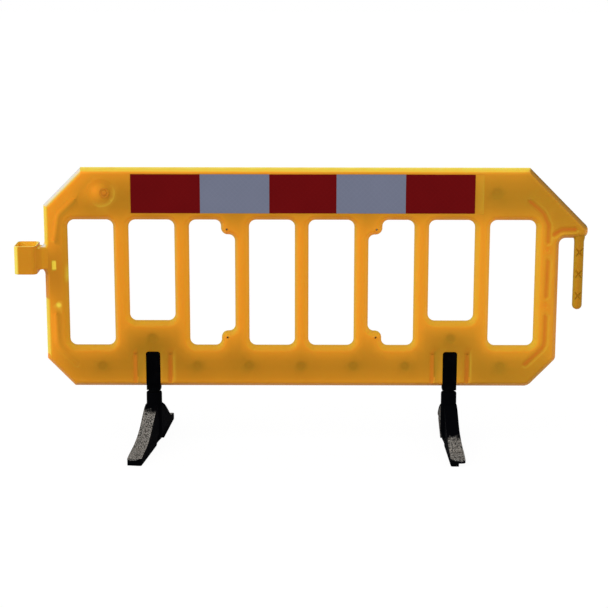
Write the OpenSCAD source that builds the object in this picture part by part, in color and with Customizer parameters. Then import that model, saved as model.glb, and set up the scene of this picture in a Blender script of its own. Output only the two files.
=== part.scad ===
// Pedestrian barrier panel: a hollow moulded panel with windows, a link eye at one end and a link pin
// at the other, reflective sheets along its top rail, and two rubber feet that swivel under it.
// X runs along the panel, the front face looks towards -Y, and Z is up from the ground.

/* [Panel] */
// Width of the panel between its two upright ends
body_w = 1864; // [1700:10:2200]
// Height of the top edge above the ground
overall_h = 1027; // [987:10:1107]
// Height of the lower edge above the ground
ground_gap = 217; // [207:5:252]
// Thickness of the panel over its two faces
panel_t = 50; // [44:1:60]
// Thickness of the moulded wall
wall = 3.5; // [2.5:0.1:5]
// Width of the sloping border between a face and the parting line
edge_bevel = 16; // [10:1:18]

/* [Outline] */
// Leg of the 45 degree corner at the upper left
top_corner = 137; // [107:5:162]
// Width of the two lower corners
low_corner_w = 99; // [60:1:120]
// Height of the two lower corners
low_corner_h = 103; // [64:1:144]
// Drop from the top edge to the underside of the arm
arm_drop = 256; // [241:1:279]
// Reach of the arm past the axis of the link pin
arm_over = 30; // [26:1:40]
// Radius under the arm
arm_fillet = 24; // [15:1:35]
// Height of the arm's blunt end
arm_end_h = 41; // [34:1:50]

/* [Windows] */
// Number of windows
window_count = 8; // [8]
// Border between an upright end and the first window
end_border = 85.5; // [70:0.5:100]
// Width of the middle bar at the parting line
bar_w = 50.5; // [44:0.5:66]
// Extra width of each bar over the one nearer the middle
bar_step = 1.8; // [0:0.2:3]
// Depth of the top rail
top_rail = 191; // [186:1:210]
// Depth of the bottom rail
bottom_rail = 155; // [145:1:180]
// Extra depth of the bottom rail over a foot
foot_rail_rise = 92; // [60:1:110]
// Corner radius of a window at the parting line
window_r = 25; // [12:1:35]

/* [Reflective sheets] */
// Sheets on each face
sheet_count = 5; // [5]
// Width of one sheet
sheet_w = 249; // [200:1:254]
// Width of the middle sheet
mid_sheet_w = 241; // [200:1:254]
// Shift of the row of sheets along the panel
sheet_shift = 4; // [0:0.5:8]
// Height of a sheet
sheet_h = 141; // [110:1:144]
// Thickness of a sheet
sheet_t = 0.5; // [0.3:0.1:0.8]
// Joint between two sheets
sheet_gap = 0.4; // [0.2:0.1:1]
// Drop from the top edge to the sheets
sheet_drop = 22.5; // [21:0.5:27]
// Depth of the recess that the sheets lie in
recess_d = 1; // [0.8:0.1:1.5]
// Rim of the recess around the sheets
recess_rim = 3; // [1:0.5:4]
// Spare length of the recess past the last sheet
recess_spare = 29; // [0:1:40]

/* [Link] */
// Distance from the left end of the panel to the axis of the eye
eye_reach = 63.5; // [58:0.5:90]
// Distance from the right end of the panel to the axis of the pin
pin_reach = 72.5; // [65:0.5:100]
// Width of the eye along the panel
eye_w = 82; // [78:1:88]
// Depth of the eye through the panel
eye_depth = 110; // [90:1:116]
// Height of the eye
eye_h = 103; // [90:1:130]
// Bore of the eye
eye_bore_d = 68; // [56:1:72]
// Corner radius of the eye
eye_corner_r = 18; // [12:1:24]
// Wall around the recessed mouths of the eye
eye_wall = 6; // [4:0.5:8]
// Depth of the recess in each mouth of the eye
eye_recess = 25; // [10:1:30]
// Drop from the top edge to the top of the eye
eye_drop = 281; // [260:1:320]
// Height of the neck between eye and panel
neck_h = 79; // [50:1:84]
// Drop from the top of the eye to the top of the neck
neck_drop = 10; // [5:1:15]
// Fillet between neck and panel
neck_fillet = 20; // [8:1:24]
// Diameter of the link pin
pin_d = 35.5; // [28:0.5:38]
// Length of the link pin below the arm
pin_len = 264; // [200:1:300]
// Height of the collar at the root of the link pin
root_h = 10; // [6:1:16]
// Width of that collar past the pin
root_spread = 2.5; // [1:0.5:4]

/* [Sign tabs] */
// Distance of a sign hole from the side of its window
sign_side = 27.7; // [24:0.1:32]
// Distance of a sign hole from the top or bottom of its window
sign_end = 32; // [28:0.5:38]
// Diameter of a sign hole
sign_hole_d = 8; // [5:0.5:10]
// Radius of a tab around its hole
tab_r = 22; // [16:0.5:26]
// Thickness of a tab
tab_t = 20; // [12:1:26]

/* [Dish and plug] */
// Distance from the left end to the dish
dish_inset = 211; // [180:1:225]
// Drop from the top edge to the dish
dish_drop = 91; // [86:1:96]
// Diameter of the dish at the face
dish_d = 102; // [80:1:110]
// Diameter of the flat floor of the dish
dish_floor_d = 70; // [50:1:76]
// Depth of the dish
dish_depth = 4; // [2:0.5:8]
// Distance of the plug from the middle of the dish
plug_shift = 12; // [0:1:14]
// Diameter of the plug's flange
plug_d = 36; // [28:1:44]
// Thickness of the plug's flange
plug_t = 2.5; // [1.5:0.5:3]
// Diameter of the nub on the plug
nub_d = 16; // [10:1:22]
// Height of the nub on the plug
nub_h = 3; // [1:0.5:4]
// Diameter of the plug's shank
shank_d = 20; // [12:1:24]
// Grip of the shank behind the wall
shank_grip = 5; // [3:0.5:8]

/* [Tack-offs] */
// Mouth of a tack-off
tack_d = 36; // [28:1:44]
// Tip of a tack-off, where it meets the other wall
tack_tip_d = 14; // [10:1:20]
// Spacing of the tack-offs along the bottom rail
tack_pitch = 190; // [170:1:200]
// Height of that row above the lower edge
tack_rise = 80; // [70:1:86]
// Distance from an upright end to the last tack-off of the row
tack_inset = 205; // [190:1:230]
// Height of the tack-offs over the feet, above the lower edge
foot_tack_rise = 186; // [180:1:196]
// Distance from the right end to the tack-off in the top rail
top_tack_inset = 230; // [200:1:240]

/* [Notches and stems] */
// Width of a notch at the faces
notch_w = 52; // [46:1:60]
// Height of a notch
notch_h = 133; // [110:1:145]
// Corner radius of a notch at the faces
notch_r = 10; // [8:0.5:16]
// Height of the ridge that the notch walls form at the parting line
notch_draft = 4; // [2:0.5:5]
// Distance of a stem behind the faces
stem_setback = 2; // [0:0.5:6]
// Length of a stem below the panel
stem_drop = 13; // [10:1:24]
// Distance of the flank grooves from the middle of a notch
groove_offset = 64; // [56:1:72]
// Width of a flank groove
groove_w = 24; // [12:1:28]
// Depth of a flank groove
groove_d = 4; // [2:0.5:8]

/* [Feet] */
// Length of a foot
foot_len = 608; // [520:4:660]
// Width of a foot
foot_w = 47; // [40:1:50]
// Distance of a foot's middle from its pivot axis
foot_shift = 5.5; // [0:0.5:8]
// Diameter of the hub
hub_d = 57; // [52:1:64]
// Height at which the back meets the hub
shoulder_h = 150; // [120:1:165]
// Height of the waist, where the back flattens
waist_h = 56; // [45:1:66]
// Distance of the waist from the toe
waist_run = 129; // [100:1:160]
// Height of the toe
toe_h = 26; // [20:1:36]
// Cut at the upper edge of the toe
toe_cut = 8; // [3:1:12]
// Cut at the lower edge of the toe
sole_cut = 6; // [3:1:10]
// Half length of the arch between the two pads
arch_run = 44; // [30:1:60]
// Height of the arch
arch_h = 8; // [4:1:14]
// Length of the ramp from pad to arch
arch_ramp = 8; // [4:1:20]
// Turn of the left foot out of square
left_foot_angle = -8; // [-90:1:90]
// Turn of the right foot out of square
right_foot_angle = 1; // [-90:1:90]

/* [Fasteners] */
// Diameter of a pivot bolt
bolt_d = 16; // [12:1:18]
// Width across the flats of bolt head and nut
hex_af = 24; // [22:1:27]
// Height of the bolt head
head_h = 10; // [8:0.5:12]
// Depth of the bolt head above the arch
head_cover = 4; // [2:0.5:8]
// Height of the lock nut
nut_h = 14; // [12:0.5:18]
// Height of the nut above the foot of the stem
nut_rise = 34; // [24:1:60]
// Bolt end past the nut
bolt_end = 4; // [2:0.5:8]
// Diameter of the washer under the head
washer_d = 30; // [28:1:36]
// Thickness of the washer under the head
washer_t = 3; // [2:0.5:4]
// Diameter of the thrust washer
thrust_d = 42; // [34:1:46]
// Space for the thrust washer between stem and hub
thrust_t = 10; // [4:0.5:12]

/* [Clearances] */
// Gap of a fixed fit, on each side
fit_gap = 0.1; // [0.05:0.01:0.2]
// Radial gap between a pivot bolt and its foot
bolt_play = 0.08; // [0.02:0.01:0.1]
// Play of a foot along its pivot bolt
axial_play = 0.2; // [0.1:0.05:0.4]
// Room around the washer in the foot's recess
recess_room = 2; // [1:0.5:4]

/* [Hidden] */

$fn = 48;
arc_steps = 6;
half_turn = 180;
overrun = 1;

panel_colour = [1.0, 0.68, 0.04];
red_colour = [0.62, 0.02, 0.03];
white_colour = [0.82, 0.85, 0.9];
rubber_colour = [0.13, 0.13, 0.13];
black_colour = [0.04, 0.04, 0.05];
steel_colour = [0.62, 0.63, 0.65];

// Places along the panel, from its middle
half_w = body_w / 2;
half_t = panel_t / 2;
eye_x = -half_w - eye_reach;
pin_x = half_w + pin_reach;
link_pitch = pin_x - eye_x;
arm_x = pin_x + arm_over;
centre_x = (eye_w / 2 - eye_x - arm_x) / 2;
half_count = window_count / 2;
window_w = (half_w - end_border - (half_count - 1 / 2) * bar_w - half_count * (half_count - 1) / 2 * bar_step)
    / half_count;
strip_w = (sheet_count - 1) * sheet_w + mid_sheet_w;
mid_sheet = (sheet_count + 1) / 2;
left_notch = 1;
right_notch = window_count - 2;
left_sign = 2;
right_sign = window_count - 3;
dish_x = -half_w + dish_inset;

// Heights above the ground
arm_z = overall_h - arm_drop;
window_top = overall_h - top_rail;
window_low = ground_gap + bottom_rail;
notch_top = ground_gap + notch_h;
dish_z = overall_h - dish_drop;
eye_z = overall_h - eye_drop - eye_h;
neck_top = overall_h - eye_drop - neck_drop;
neck_low = neck_top - neck_h;
stem_z = ground_gap - stem_drop;
hub_top = stem_z - thrust_t;
head_z = arch_h + head_cover;
washer_z = head_z + head_h;
seat_z = washer_z + washer_t + axial_play;
nut_z = stem_z + nut_rise;

// Slopes of the borders, in width per depth
edge_slope = edge_bevel / half_t;
notch_slope = notch_draft / half_t;
tack_depth = panel_t - 2 * wall;
tack_taper = (tack_d - tack_tip_d) / 2 / tack_depth;
dish_taper = (dish_d - dish_floor_d) / 2 / dish_depth;
hex_d = hex_af / cos(30);

// Middle of window i along the panel, with n windows between it and the middle bar
function window_x(i) =
    let (n = i < half_count ? half_count - 1 - i : i - half_count)
    (i < half_count ? -1 : 1) * ((2 * n + 1) * (window_w + bar_w) / 2 + n * (n + 1) / 2 * bar_step);

// Lower edge of window i, which is higher over a foot
function window_z(i) = window_low + (i == left_notch || i == right_notch ? foot_rail_rise : 0);

// Left edge of sheet k of the row
function sheet_x(k) =
    sheet_shift - strip_w / 2 + (k - 1) * sheet_w + (k > mid_sheet ? mid_sheet_w - sheet_w : 0);

// Points of an arc about a centre
function arc(c, r, from, to) =
    [for (k = [0:arc_steps]) let (a = from + (to - from) * k / arc_steps) c + r * [cos(a), sin(a)]];

// Anticlockwise rectangle with round corners
function round_rect(x0, x1, z0, z1, r) = concat(
    arc([x1 - r, z0 + r], r, -90, 0),
    arc([x1 - r, z1 - r], r, 0, 90),
    arc([x0 + r, z1 - r], r, 90, 180),
    arc([x0 + r, z0 + r], r, 180, 270));

// Copy of an anticlockwise outline, moved inwards by e all round
function unit(v) = v / norm(v);
function left_of(v) = [-v[1], v[0]];
function inset(pts, e) = [for (i = [0:len(pts) - 1])
    let (n = len(pts),
         n1 = left_of(unit(pts[i] - pts[(i + n - 1) % n])),
         n2 = left_of(unit(pts[(i + 1) % n] - pts[i])))
    pts[i] + e * (n1 + n2) / (1 + n1 * n2)];

// Outline of the panel at the parting line, with the arm at its right end
panel_outline = concat(
    [[-half_w + low_corner_w, ground_gap], [half_w - low_corner_w, ground_gap],
     [half_w, ground_gap + low_corner_h]],
    arc([half_w + arm_fillet, arm_z - arm_fillet], arm_fillet, 180, 90),
    [[arm_x, arm_z], [arm_x, arm_z + arm_end_h], [arm_x + arm_z + arm_end_h - overall_h, overall_h],
     [-half_w + top_corner, overall_h], [-half_w, overall_h - top_corner],
     [-half_w, ground_gap + low_corner_h]]);

// Outline of window i at the parting line
function window_outline(i) = round_rect(
    window_x(i) - window_w / 2, window_x(i) + window_w / 2, window_z(i), window_top, window_r);

// Outline of a notch or of the stem in it, at the parting line, down to height z
function notch_outline(i, z) =
    let (r = notch_r - notch_draft,
         x0 = window_x(i) - notch_w / 2 + notch_draft,
         x1 = window_x(i) + notch_w / 2 - notch_draft,
         z1 = notch_top - notch_draft)
    concat([[x0, z], [x1, z]], arc([x1 - r, z1 - r], r, 0, 90), arc([x0 + r, z1 - r], r, 90, 180));

// Middles of the tack-offs as [x, z]
tack_places = concat(
    [for (k = [-2:2]) [k * tack_pitch, ground_gap + tack_rise]],
    [for (s = [-1, 1]) [s * (half_w - tack_inset), ground_gap + tack_rise]],
    [for (i = [left_notch, right_notch]) [window_x(i), ground_gap + foot_tack_rise]],
    [[half_w - top_tack_inset, dish_z]]);

// Sets a shape drawn from the panel's middle into the frame
module placed() {
    translate([centre_x, 0, 0]) children();
}

// Shapes in front of the parting plane and their mirror images behind it
module both_halves() {
    children();
    mirror([0, 1, 0]) children();
}

// Solid with sloping sides between depths d0 and d1 in front of the parting plane
module drafted(pts, base, slope, d0, d1) {
    n = len(pts);
    near = inset(pts, base + slope * d0);
    far = inset(pts, base + slope * d1);
    polyhedron(
        points = concat([for (p = near) [p[0], -d0, p[1]]], [for (p = far) [p[0], -d1, p[1]]]),
        faces = concat(
            [[for (i = [0:n - 1]) i]],
            [[for (i = [n - 1:-1:0]) n + i]],
            [for (i = [0:n - 1]) [i, n + i, n + (i + 1) % n, (i + 1) % n]]));
}

// Slab across the whole panel between two depths in front of the parting plane
module slab(d0, d1) {
    translate([-link_pitch, -d1, 0]) cube([2 * link_pitch, d1 - d0, 2 * overall_h]);
}

// Cone sunk into the front face, moved inwards and widened by the skin around it
module sunk_cone(x, z, d, taper, depth, skin) {
    translate([x, -half_t + skin - overrun, z])
        rotate([-90, 0, 0])
            cylinder(
                r1 = d / 2 + skin + taper * overrun,
                r2 = d / 2 + skin - taper * depth,
                h = overrun + depth);
}

// Cones of all the tack-offs, which reach through the hollow to the other wall
module tack_cones(skin) {
    for (p = tack_places) {
        sunk_cone(p[0], p[1], tack_d, tack_taper, tack_depth, skin);
    }
}

// Upright groove in the front face beside a notch
module flank_groove(x, skin) {
    translate([x - groove_w / 2 - skin, -half_t + skin - overrun, ground_gap - 2 * overrun])
        cube([groove_w + 2 * skin, groove_d + overrun, notch_h + 2 * overrun + skin]);
}

// Front half of the panel as a solid, inside a skin of the given thickness
module half_form(skin, d0, d1, dished) {
    difference() {
        intersection() {
            drafted(panel_outline, skin, edge_slope, d0 - overrun, d1 + overrun);
            slab(d0, d1);
        }
        for (i = [0:window_count - 1]) {
            drafted(window_outline(i), -skin, -edge_slope, d0 - overrun, d1 + overrun);
        }
        for (i = [left_notch, right_notch]) {
            drafted(notch_outline(i, ground_gap - edge_bevel), -skin, -notch_slope, d0 - overrun, d1 + overrun);
            for (s = [-1, 1]) {
                flank_groove(window_x(i) + s * groove_offset, skin);
            }
        }
        if (dished) {
            sunk_cone(dish_x, dish_z, dish_d, dish_taper, dish_depth, skin);
        }
    }
}

// Moulded wall of the front half, hollow behind and open at the parting plane
module half_shell(dished) {
    difference() {
        half_form(0, 0, half_t, dished);
        half_form(wall, -overrun, half_t - wall, dished);
        translate([sheet_x(1) - recess_rim, -half_t - overrun, overall_h - sheet_drop - sheet_h - recess_rim])
            cube([strip_w + 2 * recess_rim + recess_spare, recess_d + overrun, sheet_h + 2 * recess_rim]);
        if (dished) {
            translate([dish_x + plug_shift, -half_t, dish_z])
                rotate([-90, 0, 0])
                    cylinder(d = shank_d + 2 * fit_gap, h = half_t);
        }
    }
}

module panel_front_shell() {
    color(panel_colour) placed() half_shell(true);
}

module panel_rear_shell() {
    color(panel_colour) placed() mirror([0, 1, 0]) difference() {
        union() {
            half_shell(false);
            tack_cones(wall);
        }
        tack_cones(0);
    }
}

// The whole panel as a solid, without its windows
module edge_form() {
    both_halves() drafted(panel_outline, 0, edge_slope, 0, half_t + overrun);
}

// Upright block about the axis of the eye with round corners, a margin smaller than the eye all round
module eye_block(margin, z, h) {
    w = eye_w - 2 * margin;
    d = eye_depth - 2 * margin;
    r = eye_corner_r - margin;
    translate([eye_x, 0, z]) {
        translate([-w / 2, r - d / 2, 0]) cube([w, d - 2 * r, h]);
        translate([r - w / 2, -d / 2, 0]) cube([w - 2 * r, d, h]);
        for (sx = [-1, 1], sy = [-1, 1]) {
            translate([sx * (w / 2 - r), sy * (d / 2 - r), 0]) cylinder(r = r, h = h);
        }
    }
}

// Neck that narrows from the eye to the panel and spreads up and down its end
module eye_neck() {
    edge_x = -half_w;
    end_x = edge_x + edge_bevel;
    r = neck_fillet;
    side = concat(
        [[eye_x, neck_low]],
        arc([edge_x - r, neck_low - r], r, 90, 0),
        [[end_x, neck_low - r], [end_x, neck_top + r]],
        arc([edge_x - r, neck_top + r], r, 0, -90),
        [[eye_x, neck_top]]);
    flat_d = eye_depth / 2 - eye_corner_r;
    plan = [[eye_x, -flat_d], [end_x, -half_t], [end_x, half_t], [eye_x, flat_d]];
    intersection() {
        rotate([90, 0, 0]) linear_extrude(eye_depth, center = true) polygon(side);
        linear_extrude(overall_h) polygon(plan);
    }
}

module link_eye() {
    color(panel_colour) placed() difference() {
        union() {
            eye_block(0, eye_z, eye_h);
            eye_neck();
        }
        translate([eye_x, 0, eye_z - overrun]) cylinder(d = eye_bore_d, h = eye_h + 2 * overrun);
        eye_block(eye_wall, eye_z + eye_h - eye_recess, eye_recess + overrun);
        eye_block(eye_wall, eye_z - overrun, eye_recess + overrun);
        edge_form();
    }
}

module link_pin() {
    tip_z = arm_z - pin_len + pin_d / 2;
    root_z = arm_z - root_h;
    root_d = pin_d + 2 * root_spread;
    color(panel_colour) placed() difference() {
        translate([pin_x, 0, 0]) {
            translate([0, 0, tip_z]) sphere(d = pin_d);
            translate([0, 0, tip_z]) cylinder(d = pin_d, h = root_z - tip_z);
            translate([0, 0, root_z]) cylinder(d = root_d, h = root_h + edge_bevel);
        }
        edge_form();
    }
}

// Tab in a window corner: s says which side of the middle it is on, and t top or bottom
module sign_tab(s, t) {
    i = s < 0 ? left_sign : right_sign;
    window_edge = [window_x(i) - s * window_w / 2, t > 0 ? window_top : window_low];
    hole = window_edge + [s * sign_side, -t * sign_end];
    reach = [sign_side + edge_bevel, sign_end + edge_bevel];
    difference() {
        intersection() {
            translate([hole[0], 0, hole[1]]) scale([-s, 1, t]) {
                rotate([90, 0, 0]) cylinder(r = tab_r, h = tab_t, center = true);
                translate([-tab_r, -tab_t / 2, 0]) cube([tab_r + reach[0], tab_t, reach[1]]);
                translate([0, -tab_t / 2, -tab_r]) cube([reach[0], tab_t, tab_r + reach[1]]);
            }
            both_halves() drafted(window_outline(i), 0, -edge_slope, -overrun, half_t);
        }
        translate([hole[0], 0, hole[1]]) rotate([90, 0, 0])
            cylinder(d = sign_hole_d, h = tab_t + 2 * overrun, center = true);
    }
}

module sign_tabs() {
    color(panel_colour) placed() for (s = [-1, 1], t = [-1, 1]) {
        sign_tab(s, t);
    }
}

// Plug that closes the hole in the dish
module dish_plug() {
    place = [dish_x + plug_shift, dish_depth - half_t, dish_z];
    color(panel_colour) placed() translate(place) rotate([90, 0, 0]) {
        cylinder(d = plug_d, h = plug_t);
        cylinder(d = nub_d, h = plug_t + nub_h);
        translate([0, 0, -wall - shank_grip]) cylinder(d = shank_d, h = wall + shank_grip);
    }
}

// Reflective sheet k of the row on the front face
module sheet(k) {
    color(k % 2 == 1 ? red_colour : white_colour)
        translate([sheet_x(k) + sheet_gap / 2, recess_d - half_t - sheet_t, overall_h - sheet_drop - sheet_h])
            cube([sheet_x(k + 1) - sheet_x(k) - sheet_gap, sheet_t, sheet_h]);
}

module front_sheet(k) {
    placed() sheet(k);
}

module rear_sheet(k) {
    placed() mirror([0, 1, 0]) sheet(k);
}

// Sets a shape drawn about the pivot axis under notch i into the frame
module at_pivot(i) {
    placed() translate([window_x(i), 0, 0]) children();
}

// Block that stands in notch i astride its ridge, with a pocket for the nut from behind
module stem(i) {
    color(black_colour) placed() difference() {
        both_halves()
            drafted(
                notch_outline(i, stem_z - notch_draft), fit_gap, -notch_slope, -overrun, half_t - stem_setback);
        translate([window_x(i), 0, 0]) {
            translate([-notch_w, -panel_t, 0]) cube([2 * notch_w, 2 * panel_t, stem_z]);
            cylinder(d = bolt_d + 2 * fit_gap, h = nut_z + nut_h + 2 * bolt_end);
            translate([-hex_af / 2 - fit_gap, -hex_d / 2 - fit_gap, nut_z])
                cube([hex_af + 2 * fit_gap, hex_d / 2 + half_t, nut_h + fit_gap]);
        }
    }
}

// Flat ring about the pivot axis
module washer(d, t, z) {
    translate([0, 0, z]) difference() {
        cylinder(d = d, h = t);
        translate([0, 0, -overrun]) cylinder(d = bolt_d + 2 * fit_gap, h = t + 2 * overrun);
    }
}

module thrust_washer(i) {
    color(black_colour) at_pivot(i) washer(thrust_d, thrust_t - axial_play, hub_top + axial_play);
}

module head_washer(i) {
    color(steel_colour) at_pivot(i) washer(washer_d, washer_t, washer_z);
}

module pivot_bolt(i) {
    color(steel_colour) at_pivot(i) {
        translate([0, 0, head_z]) rotate(30) cylinder(d = hex_d, h = head_h, $fn = 6);
        translate([0, 0, head_z]) cylinder(d = bolt_d, h = nut_z + nut_h + bolt_end - head_z);
    }
}

module lock_nut(i) {
    color(steel_colour) at_pivot(i) difference() {
        translate([0, 0, nut_z]) rotate(30) cylinder(d = hex_d, h = nut_h, $fn = 6);
        cylinder(d = bolt_d + 2 * fit_gap, h = nut_z + nut_h + overrun);
    }
}

// Half of the foot's side outline, from the arch to the hub
function foot_side() = let (end = foot_len / 2) [
    [arch_run, arch_h],
    [arch_run + arch_ramp, 0],
    [end - sole_cut, 0],
    [end, sole_cut],
    [end, toe_h - toe_cut],
    [end - toe_cut, toe_h],
    [end - waist_run, waist_h],
    [hub_d / 4, shoulder_h]];

// Long rubber foot with a round hub, one of its sides nearly flush with the hub
module foot(i, turn) {
    side = foot_side();
    mirrored = [for (k = [len(side) - 1:-1:0]) [-side[k][0], side[k][1]]];
    color(rubber_colour) at_pivot(i) rotate(turn) difference() {
        union() {
            translate([foot_shift, 0, 0]) rotate([90, 0, 90])
                linear_extrude(foot_w, center = true) polygon(concat(side, mirrored));
            translate([0, 0, arch_h]) cylinder(d = hub_d, h = hub_top - arch_h);
        }
        cylinder(d = bolt_d + 2 * bolt_play, h = hub_top + overrun);
        cylinder(d = washer_d + 2 * recess_room, h = seat_z);
    }
}

panel_front_shell();
panel_rear_shell();
link_eye();
link_pin();
sign_tabs();
dish_plug();
front_sheet(1);  // front_sheet_1
front_sheet(2);  // front_sheet_2
front_sheet(3);  // front_sheet_3
front_sheet(4);  // front_sheet_4
front_sheet(5);  // front_sheet_5
rear_sheet(1);  // rear_sheet_1
rear_sheet(2);  // rear_sheet_2
rear_sheet(3);  // rear_sheet_3
rear_sheet(4);  // rear_sheet_4
rear_sheet(5);  // rear_sheet_5
stem(left_notch);  // left_stem
thrust_washer(left_notch);  // left_thrust_washer
pivot_bolt(left_notch);  // left_pivot_bolt
lock_nut(left_notch);  // left_lock_nut
head_washer(left_notch);  // left_head_washer
foot(left_notch, left_foot_angle + half_turn);  // left_foot
stem(right_notch);  // right_stem
thrust_washer(right_notch);  // right_thrust_washer
pivot_bolt(right_notch);  // right_pivot_bolt
lock_nut(right_notch);  // right_lock_nut
head_washer(right_notch);  // right_head_washer
foot(right_notch, right_foot_angle);  // right_foot
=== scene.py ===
import math

import bmesh
import bpy
import numpy as np
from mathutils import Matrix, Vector


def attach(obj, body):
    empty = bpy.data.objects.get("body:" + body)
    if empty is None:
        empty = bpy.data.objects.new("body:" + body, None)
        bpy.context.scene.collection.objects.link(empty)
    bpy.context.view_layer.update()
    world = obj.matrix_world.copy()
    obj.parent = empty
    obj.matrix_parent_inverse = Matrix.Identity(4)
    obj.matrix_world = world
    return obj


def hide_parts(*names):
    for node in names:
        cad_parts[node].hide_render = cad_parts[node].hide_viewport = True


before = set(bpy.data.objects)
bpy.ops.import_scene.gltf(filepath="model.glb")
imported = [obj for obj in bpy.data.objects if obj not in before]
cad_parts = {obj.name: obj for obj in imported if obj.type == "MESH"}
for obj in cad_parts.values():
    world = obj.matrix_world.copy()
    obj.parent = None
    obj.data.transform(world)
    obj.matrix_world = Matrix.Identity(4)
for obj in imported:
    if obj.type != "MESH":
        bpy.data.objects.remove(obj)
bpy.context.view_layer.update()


# Panel moulding
# The hollow panel, blow-moulded in one piece from orange high-density polyethylene. Its borders slope from
# both faces to the parting line, eight windows go through it, and dents pinch its two walls together.
# Sizes are in millimetres about the panel's own middle, which is PANEL_MID to the right of the origin.
PANEL_MID = 1.0
HALF_T, HALF_W = 25.0, 932.0
TOP, LOW = 1027.0, 217.0
TOP_CUT, LOW_CUT, END_CUT = 137.0, 99.0, 103.0
LOW_R, END_R = 36.0, 26.0
ARM_TIP, ARM_TOP, ARM_LOW, ARM_R, ARM_PIT_R = 1034.5, 812.0, 771.0, 25.0, 24.0
NECK_TIP, NECK_TOP, NECK_LOW, NECK_R = -995.0, 736.0, 657.0, 22.0
BORDER, FACE_R, PARTING_R = 16.0, 12.0, 2.0
HALF_MIDS = [107.61875, 324.65625, 543.49375, 764.13125]
WINDOW_MIDS = [-x for x in reversed(HALF_MIDS)] + HALF_MIDS
WINDOW_W, WINDOW_R = 164.7375, 25.0
WINDOW_TOP, WINDOW_LOW, FOOT_WINDOW_LOW = 836.0, 372.0, 464.0
LOBE_W, LOBE_H, LOBE_R, LOBE_PIT_R = 50.0, 54.0, 22.0, 24.5
LOBE_LEFT, LOBE_RIGHT = 5, 2
SIGN_X, SIGN_Z, SIGN_RISE, SIGN_R = 269.9875, (WINDOW_TOP + WINDOW_LOW) / 2, 200.0, 4.0
FOOT_MIDS = [WINDOW_MIDS[1], WINDOW_MIDS[6]]
NOTCH_HALF, NOTCH_TOP, NOTCH_R, LIP_R = 26.2, 350.2, 10.0, 2.5
# Cutters stand off a face by LIFT and run past it by OVERRUN, those at the lower edge start from BELOW, and
# LEAD gives the end of a profile its direction.
LIFT, OVERRUN, BELOW, LEAD = 0.03, 4.0, 150.0, 30.0


def rounded(corners, steps=5):
    """Points of a line through corners (x, y, radius), each corner rounded with its radius."""
    points = []
    for i, (x, y, r) in enumerate(corners):
        p = Vector((x, y))
        if not r:
            points.append(p)
            continue
        a = (Vector(corners[i - 1][:2]) - p).normalized()
        b = (Vector(corners[(i + 1) % len(corners)][:2]) - p).normalized()
        half = a.angle(b) / 2
        turn = math.pi - 2 * half
        centre = p + (a + b).normalized() * (r / math.sin(half))
        u = p + a * (r / math.tan(half)) - centre
        v = p + b * (r / math.tan(half)) - centre
        for k in range(steps + 1):
            s = k / steps
            points.append(centre + (u * math.sin((1 - s) * turn) + v * math.sin(s * turn)) / math.sin(turn))
    return points


def box(x, half, y0, y1, low_r=0, top_r=0):
    """Anticlockwise outline of a box that reaches half to each side of x, with rounded corners."""
    left, right = x - half, x + half
    return rounded([(left, y0, low_r), (right, y0, low_r), (right, y1, top_r), (left, y1, top_r)])


def circle(x, y, r, count=28):
    """Anticlockwise points of a circle."""
    return [Vector((x + r * math.cos(a), y + r * math.sin(a)))
            for a in (2 * math.pi * k / count for k in range(count))]


def profile(corners):
    """Levels (inset, height) of a rounded profile. Its two ends only give directions and are left out."""
    return [tuple(p) for p in rounded(corners)[1:-1]]


def edged(start, end, r, lead=LEAD):
    """Levels from one height to another with a rounded edge at each; a negative lead makes a hole's lips."""
    return profile([(lead, start, 0), (0, start, r), (0, end, r), (lead, end, 0)])


def overrun(levels):
    """Levels of a hole's cutter, carried on past both faces."""
    mouth = levels[0][0]
    return [(mouth, HALF_T + OVERRUN)] + levels + [(mouth, -HALF_T - OVERRUN)]


def inset(outline, e):
    """Copy of an anticlockwise outline, moved inwards by e all round."""
    moved = []
    for i, p in enumerate(outline):
        a = (p - outline[i - 1]).normalized()
        b = (outline[(i + 1) % len(outline)] - p).normalized()
        n1, n2 = Vector((-a.y, a.x)), Vector((-b.y, b.x))
        moved.append(p + (n1 + n2) * (e / (1 + n1.dot(n2))))
    return moved


def drafted_block(name, outline, levels, along="Y"):
    """A disc moved onto the outline and extruded through levels, which are (inset, height) in millimetres."""
    bpy.ops.object.select_all(action="DESELECT")
    bpy.ops.mesh.primitive_circle_add(vertices=len(outline), fill_type="NGON")
    block = bpy.context.object
    block.name = block.data.name = name
    bpy.ops.object.mode_set(mode="EDIT")
    ring = {}
    for e, c in levels:
        if ring:
            bpy.ops.mesh.extrude_region_move()
        mesh = bmesh.from_edit_mesh(block.data)
        mesh.verts.ensure_lookup_table()
        chosen = [v for v in mesh.verts if v.select]
        places = [ring[v.co.to_tuple(6)] for v in chosen] if ring else range(len(chosen))
        ring = {}
        points = inset(outline, e)
        for v, i in zip(chosen, places):
            a, b = points[i]
            v.co = Vector({"X": (c, a, b), "Y": (a, c, b), "Z": (a, b, c)}[along]) / 1000
            ring[v.co.to_tuple(6)] = i
        bmesh.update_edit_mesh(block.data)
    bpy.ops.mesh.select_all(action="SELECT")
    bpy.ops.mesh.normals_make_consistent(inside=False)
    bpy.ops.object.mode_set(mode="OBJECT")
    return block


def dent(outline, corners, side):
    """Cutter for a dent in the front (-1) or rear (1): its brim's radius, then (inset, depth, radius)."""
    path = rounded([(-LEAD, -LIFT, 0), (0, -LIFT, corners[0])] + corners[1:])[1:]
    levels = [(path[0].x, side * (HALF_T + OVERRUN))] + [(p.x, side * (HALF_T - p.y)) for p in path]
    return drafted_block("dent", outline, levels)


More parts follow.
